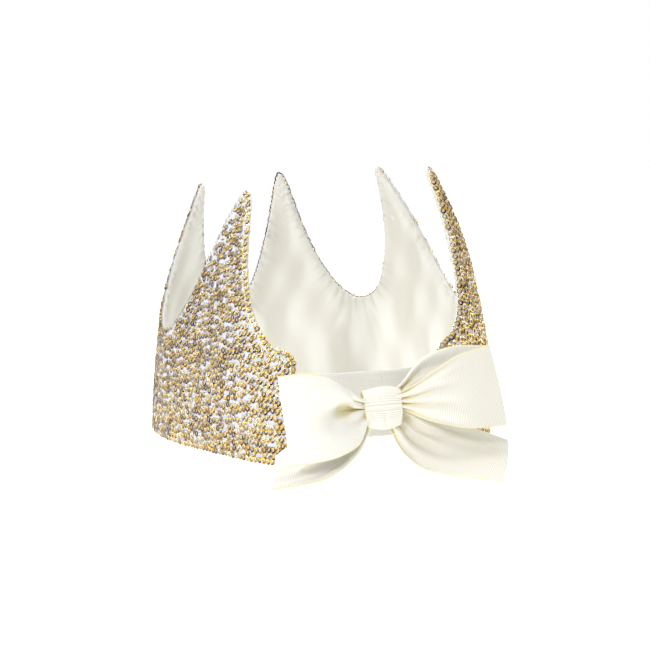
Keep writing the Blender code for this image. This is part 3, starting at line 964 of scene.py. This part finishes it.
RIGHT_LOOP = [
    ((17.5, 6.2, 31.0), (17.5, 6.4, 30.0), (17.5, 6.6, 29.0), (17.5, 6.4, 28.0), (17.5, 6.2, 27.0)),
    ((24.0, 4.6, 32.6), (24.2, 4.6, 30.6), (24.2, 4.8, 28.6), (24.2, 4.6, 26.6), (24.0, 4.4, 24.8)),
    ((31.0, 1.6, 37.2), (31.0, 0.4, 33.4), (30.8, 0.2, 29.6), (30.6, -0.4, 25.8), (30.0, -0.6, 22.0)),
    ((38.6, -0.2, 42.2), (38.2, -2.2, 36.8), (38.0, -3.2, 31.2), (37.6, -4.4, 25.6), (37.0, -5.0, 20.0)),
    ((47.4, 1.0, 46.2), (47.6, -1.8, 38.8), (48.0, -4.4, 31.6), (48.4, -6.6, 24.4), (48.6, -8.0, 17.6)),
    ((59.6, 5.6, 48.0), (60.4, 2.2, 40.4), (61.2, -1.0, 32.6), (61.8, -4.0, 24.8), (62.0, -6.8, 17.2)),
    ((59.6, 7.2, 48.0), (60.4, 3.8, 40.4), (61.2, 0.6, 32.6), (61.8, -2.4, 24.8), (62.0, -5.2, 17.2)),
    ((46.0, 9.4, 48.4), (47.0, 7.6, 41.0), (47.6, 5.6, 33.4), (48.2, 3.6, 25.8), (48.6, 1.6, 18.4)),
    ((33.6, 10.4, 44.6), (34.0, 9.4, 39.4), (34.2, 8.4, 33.4), (34.4, 7.0, 27.4), (34.4, 5.6, 21.4)),
    ((24.0, 9.2, 35.2), (24.2, 8.8, 33.0), (24.4, 8.4, 30.4), (24.4, 8.0, 27.6), (24.2, 7.6, 25.0)),
    ((17.5, 8.2, 31.0), (17.5, 8.4, 30.0), (17.5, 8.6, 29.0), (17.5, 8.4, 28.0), (17.5, 8.2, 27.0)),
]
LEFT_TAIL = [
    ((9.0, 9.0, 26.5), (9.4, 8.8, 25.2), (9.8, 8.6, 23.8), (10.2, 8.4, 22.4), (10.6, 8.2, 21.0)),
    ((2.6, 9.8, 25.0), (3.8, 9.2, 22.6), (5.2, 8.6, 20.0), (6.8, 7.8, 17.6), (8.6, 7.2, 15.4)),
    ((-5.0, 10.2, 22.8), (-4.4, 8.6, 18.4), (-3.0, 6.8, 14.2), (-0.6, 4.6, 10.6), (2.6, 2.6, 7.6)),
    ((-18.0, 11.4, 16.4), (-16.6, 9.2, 11.6), (-15.0, 5.6, 7.4), (-13.2, 0.4, 4.2), (-11.4, -5.8, 1.7)),
    ((-29.6, 13.4, 8.4), (-30.8, 8.4, 5.8), (-31.9, 2.0, 3.6), (-32.7, -4.6, 1.9), (-33.4, -11.0, 0.8)),
]
RIGHT_TAIL = [
    ((21.4, 9.0, 26.5), (20.2, 8.8, 25.0), (19.0, 8.6, 23.6), (18.0, 8.4, 22.4), (17.0, 8.2, 21.0)),
    ((28.0, 8.8, 24.4), (26.2, 7.8, 21.8), (23.6, 8.4, 19.4), (20.8, 7.2, 17.0), (18.6, 6.8, 14.6)),
    ((36.0, 8.4, 21.4), (33.4, 5.2, 16.8), (30.2, 5.8, 12.8), (26.6, 3.4, 9.4), (23.0, 1.2, 6.4)),
    ((49.6, 8.2, 15.2), (46.0, 3.6, 11.8), (42.0, -1.6, 8.2), (37.2, -6.6, 4.6), (32.0, -11.0, 1.6)),
    ((66.6, 6.0, 7.6), (64.8, -2.0, 6.6), (62.2, -11.6, 4.8), (58.8, -21.6, 2.4), (55.4, -30.4, 0.8)),
]


def spline(points, t):
    """Smooth curves through rows of points, at shares t of their course."""
    spans = len(points) - 1
    reach = np.clip(t * spans, 0.0, spans - 1e-9)
    span = reach.astype(int)
    f = (reach - span)[:, None, None]
    before = points[np.maximum(span - 1, 0)]
    start = points[span]
    end = points[span + 1]
    after = points[np.minimum(span + 2, spans)]
    bend = (end - before) * f + (before * 2 - start * 5 + end * 4 - after) * f**2
    bend = bend + (start * 3 - before - end * 3 + after) * f**3
    return start + bend * 0.5


def even_shares(sections):
    """Shares of the course that lie evenly along the ribbon's middle, and its length."""
    t = np.linspace(0.0, 1.0, 800)
    line = spline(sections, t)[:, 2]
    run = np.concatenate([[0.0], np.cumsum(np.linalg.norm(np.diff(line, axis=0), axis=1))])
    length = run[-1]
    count = int(length / RIB_PITCH * 5)
    return np.interp(np.linspace(0.0, length, count), run, t), length


def ribbon_points(sections):
    """The ribbon's surface, and the places of its grid lines along it and across it."""
    shares, length = even_shares(sections)
    across = spline(sections, shares)
    v = np.linspace(0.0, 1.0, RIBBON_ROWS)
    points = np.swapaxes(spline(np.swapaxes(across, 0, 1), v), 0, 1)
    return points, np.linspace(0.0, length, len(shares)), v


def ribbon_relief(u, v, wide):
    """Ribs that fade out at the selvedges, and pleats where the ribbon is drawn in."""
    rib = RIB_HEIGHT * np.cos(u * 2 * math.pi / RIB_PITCH)
    inset = smooth(np.minimum(v, 1.0 - v) / SELVEDGE_SHARE)
    deep = PLEAT_HEIGHT * smooth((PLEAT_START - wide) / PLEAT_FADE)
    swing = np.minimum(deep, PLEAT_SHARE * wide)
    pleats = swing[:, None] * np.sin(PLEATS * 2 * math.pi * v)[None, :]
    return rib[:, None] * inset[None, :] + pleats


def build_ribbon(body, sections, material):
    """One loop or tail of the bow, which is named after its body."""
    sections = np.array(sections) + (RING_CENTRE[0], RING_CENTRE[1] + BOW_PLANE, 0.0)
    points, u, v = ribbon_points(sections)
    points = points * MM
    wide = np.linalg.norm(np.diff(points, axis=1), axis=-1).sum(1) / MM
    points = points + grid_normals(points) * (ribbon_relief(u, v, wide) * MM)[..., None]
    uv = np.stack(np.meshgrid(u, v * RIBBON_WIDTH, indexing="ij"), -1)
    piece = closed_sheet(f"{body}_ribbon", points, RIBBON_THICK, uv, material)
    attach(piece, body)
    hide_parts(f"bow_{body}")


KNOT_CENTRE = (15.4, -100.6, 25.4)
KNOT_HALF_WIDTH = 7.8
KNOT_HALF_HEIGHT = 8.5
KNOT_HALF_DEPTH = 6.4
KNOT_CROWN = 0.9
KNOT_SQUARENESS = 0.62
WRAP_WIDTH = 16.0
WRAP_LENGTH = 46.0
WRAP_THICK = 0.5
WRAP_COLUMNS = 150
WRAP_ROWS = 29


def squared(wave):
    """A sine or cosine with its round made squarer, for a flattened band."""
    return np.sign(wave) * np.abs(wave) ** KNOT_SQUARENESS


def build_knot(material):
    """A short ribbon wrapped round the bow's middle: a closed band, pulled in at its waist."""
    turn = np.linspace(0.0, 2 * math.pi, WRAP_COLUMNS + 1)
    across = np.linspace(-1.0, 1.0, WRAP_ROWS)
    t, v = np.meshgrid(turn, across, indexing="ij")
    up = squared(np.sin(t)) * (KNOT_HALF_HEIGHT - KNOT_CROWN * v**2 + 0.25 * np.sin(3 * v + 1))
    deep = -squared(np.cos(t)) * (KNOT_HALF_DEPTH - KNOT_CROWN * v**2)
    narrow = 1.0 - 0.13 * smooth((-up - 1.0) / 8.0) + 0.04 * smooth(up / 8.0)
    front = smooth(-deep / 5.0)
    pleat = 0.7 * hill(v, 0.05, 0.07) * smooth((-up - 0.5) / 6.0) * front
    pleat = pleat + 0.35 * hill(v, -0.55, 0.10) * smooth((-up + 2.0) / 8.0) * front
    dimple = 0.3 * hill(v, 0.0, 0.5) * hill(up, 0.0, 3.0) * front
    deep = deep + pleat + dimple
    rib = RIB_HEIGHT * np.cos(t * 8.0 / RIB_PITCH) * smooth((1.0 - np.abs(v)) / 0.08)
    deep = deep - rib * np.sign(-deep) * front
    lean = math.atan(LEAN)
    x = KNOT_CENTRE[0] + RING_CENTRE[0] + v * KNOT_HALF_WIDTH * narrow
    y = KNOT_CENTRE[1] + RING_CENTRE[1] + deep * math.cos(lean) + up * math.sin(lean)
    z = KNOT_CENTRE[2] + up * math.cos(lean) - deep * math.sin(lean)
    run = np.linspace(0.0, WRAP_LENGTH, WRAP_COLUMNS + 1)
    uv = np.stack(np.meshgrid(run, (across + 1) * WRAP_WIDTH / 2, indexing="ij"), -1)
    piece = wrap_sheet("bow_wrap", np.stack([x, y, z], -1) * MM, WRAP_THICK, uv, material)
    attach(piece, "elastic_centre")
    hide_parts("bow_knot")


def wrap_sheet(name, points, thick, uv, material):
    """A closed band of cloth: the grid's first and last row meet."""
    nu, nv = points.shape[0] - 1, points.shape[1]
    ring = points[:nu]
    normals = np.cross(np.roll(ring, -1, 0) - np.roll(ring, 1, 0), np.gradient(ring, axis=1))
    normals /= np.maximum(np.linalg.norm(normals, axis=-1, keepdims=True), 1e-12)
    inside_out = ((ring - ring.reshape(-1, 3).mean(0)) * normals).sum() < 0
    outward = (-normals if inside_out else normals) * (thick / 2 * MM)
    u, v = np.meshgrid(np.arange(nu), np.arange(nv - 1), indexing="ij")
    a = (u * nv + v).ravel()
    b = (((u + 1) % nu) * nv + v).ravel()
    skin = np.stack([a, b, b + 1, a + 1], -1)
    count = nu * nv
    k = np.arange(nu)
    nxt = (k + 1) % nu
    low = np.stack([k * nv, k * nv + count, nxt * nv + count, nxt * nv], -1)
    high = np.stack([k * nv, nxt * nv, nxt * nv + count, k * nv + count], -1) + nv - 1
    quads = np.concatenate([skin, skin[:, ::-1] + count, low, high])
    vertices = np.concatenate([(ring + outward).reshape(-1, 3), (ring - outward).reshape(-1, 3)])
    quads = quads[:, ::-1] if inside_out else quads
    return mesh_from(name, vertices, quads, material, np.tile(uv[:nu].reshape(-1, 2), (2, 1)))


# -------------------- camera, floor and light
CAMERA_TARGET = (8.03, 21.9, 48.2)
CAMERA_AZIMUTH = -4.54
CAMERA_ELEVATION = 7.86
CAMERA_DISTANCE = 606.9
CAMERA_ROLL = -4.36
CAMERA_LENS = 68.4


def build_camera():
    azimuth, elevation, roll = (math.radians(a) for a in (CAMERA_AZIMUTH, CAMERA_ELEVATION, CAMERA_ROLL))
    level = Vector((math.sin(azimuth), -math.cos(azimuth), 0.0))
    back = level * math.cos(elevation) + Vector((0.0, 0.0, math.sin(elevation)))
    right = Vector((math.cos(azimuth), math.sin(azimuth), 0.0))
    up = back.cross(right)
    tilted_right = right * math.cos(roll) + up * math.sin(roll)
    tilted_up = up * math.cos(roll) - right * math.sin(roll)
    turn = Matrix((tilted_right, tilted_up, back)).transposed().to_4x4()
    turn.translation = (Vector(CAMERA_TARGET) + back * CAMERA_DISTANCE) * MM
    data = bpy.data.cameras.new("camera")
    data.lens = CAMERA_LENS
    data.sensor_width = 36.0
    data.clip_start = 0.01
    camera = bpy.data.objects.new("camera", data)
    camera.matrix_world = turn
    bpy.context.scene.collection.objects.link(camera)
    bpy.context.scene.camera = camera


# The floor and the lights are placed in metres.
FLOOR_GLOW = 0.55
FLOOR_REACH = 4.0
WORLD_LEVEL = 0.82


def build_floor():
    glow = {"Emission_Color": (1.0, 1.0, 1.0, 1.0), "Emission_Strength": FLOOR_GLOW}
    material, _ = new_material("pale_floor", (0.93, 0.93, 0.93), 0.7, Specular_IOR_Level=0.2, **glow)
    mesh = bpy.data.meshes.new("floor")
    corners = [(x * FLOOR_REACH, y * FLOOR_REACH, 0.0) for x, y in ((-1, -1), (1, -1), (1, 1), (-1, 1))]
    mesh.from_pydata(corners, [], [(0, 1, 2, 3)])
    mesh.materials.append(material)
    floor = bpy.data.objects.new("floor", mesh)
    bpy.context.scene.collection.objects.link(floor)


def area_light(name, place, aim, size, power):
    data = bpy.data.lights.new(name, "AREA")
    data.shape = "RECTANGLE"
    data.size, data.size_y = size
    data.energy = power
    light = bpy.data.objects.new(name, data)
    light.location = place
    light.rotation_mode = "QUATERNION"
    light.rotation_quaternion = (Vector(aim) - Vector(place)).to_track_quat("-Z", "Y")
    bpy.context.scene.collection.objects.link(light)


def build_light():
    bpy.context.scene.view_settings.view_transform = "Standard"
    area_light("overhead", (0.0, 0.15, 1.0), (0, 0, 0), (0.6, 0.6), 4.0)
    area_light("left_soft", (-0.9, -0.1, 0.7), (0, 0, 0.05), (0.35, 0.5), 2.2)
    area_light("right_soft", (1.0, -0.25, 0.55), (0, 0, 0.05), (0.5, 0.7), 1.8)
    area_light("front_key", (-0.5, -0.7, 0.6), (0, 0, 0.05), (0.2, 0.2), 3.6)
    world = bpy.data.worlds.new("studio")
    world.use_nodes = True
    bpy.context.scene.world = world
    background = world.node_tree.nodes["Background"]
    background.inputs["Strength"].default_value = WORLD_LEVEL
    split = node(world, "ShaderNodeSeparateXYZ")
    feed(world, (node(world, "ShaderNodeTexCoord"), "Generated"), split, "Vector")
    high = ranged(world, (split, "Z"), 0.35, 0.75)
    behind = ranged(world, (split, "Y"), -0.35, 1.0, interpolation="SMOOTHSTEP")
    around = mixed(world, behind, (0.16, 0.15, 0.14), (0.85, 0.85, 0.87))
    overhead = mixed(world, high, around, (0.75, 0.75, 0.75))
    camera_ray = (node(world, "ShaderNodeLightPath"), "Is Camera Ray")
    white = (1.0 / WORLD_LEVEL,) * 3
    feed(world, mixed(world, camera_ray, overhead, white), background, "Color")


def main():
    build_camera()
    build_floor()
    build_light()
    gold = gold_material()
    ground = mesh_cloth_material()
    satin = satin_material()
    ribbon = grosgrain_material()
    strap = elastic_material()
    felt = felt_material()
    thread = thread_material()
    cloth = build_layer("ground_cloth", outer_depth, True, ground, "outer")
    lining = build_layer("satin_lining", lining_depth, False, satin, "lining")
    build_core(felt)
    sequins = build_sequins(gold)
    build_elastic(strap)
    build_ribbon("left_loop", LEFT_LOOP, ribbon)
    build_ribbon("right_loop", RIGHT_LOOP, ribbon)
    build_ribbon("left_tail", LEFT_TAIL, ribbon)
    build_ribbon("right_tail", RIGHT_TAIL, ribbon)
    build_knot(ribbon)
    for name in ("elastic_stitch_left", "elastic_stitch_right", "bow_tack_stitch"):
        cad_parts[name].data.materials.clear()
        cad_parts[name].data.materials.append(thread)


main()
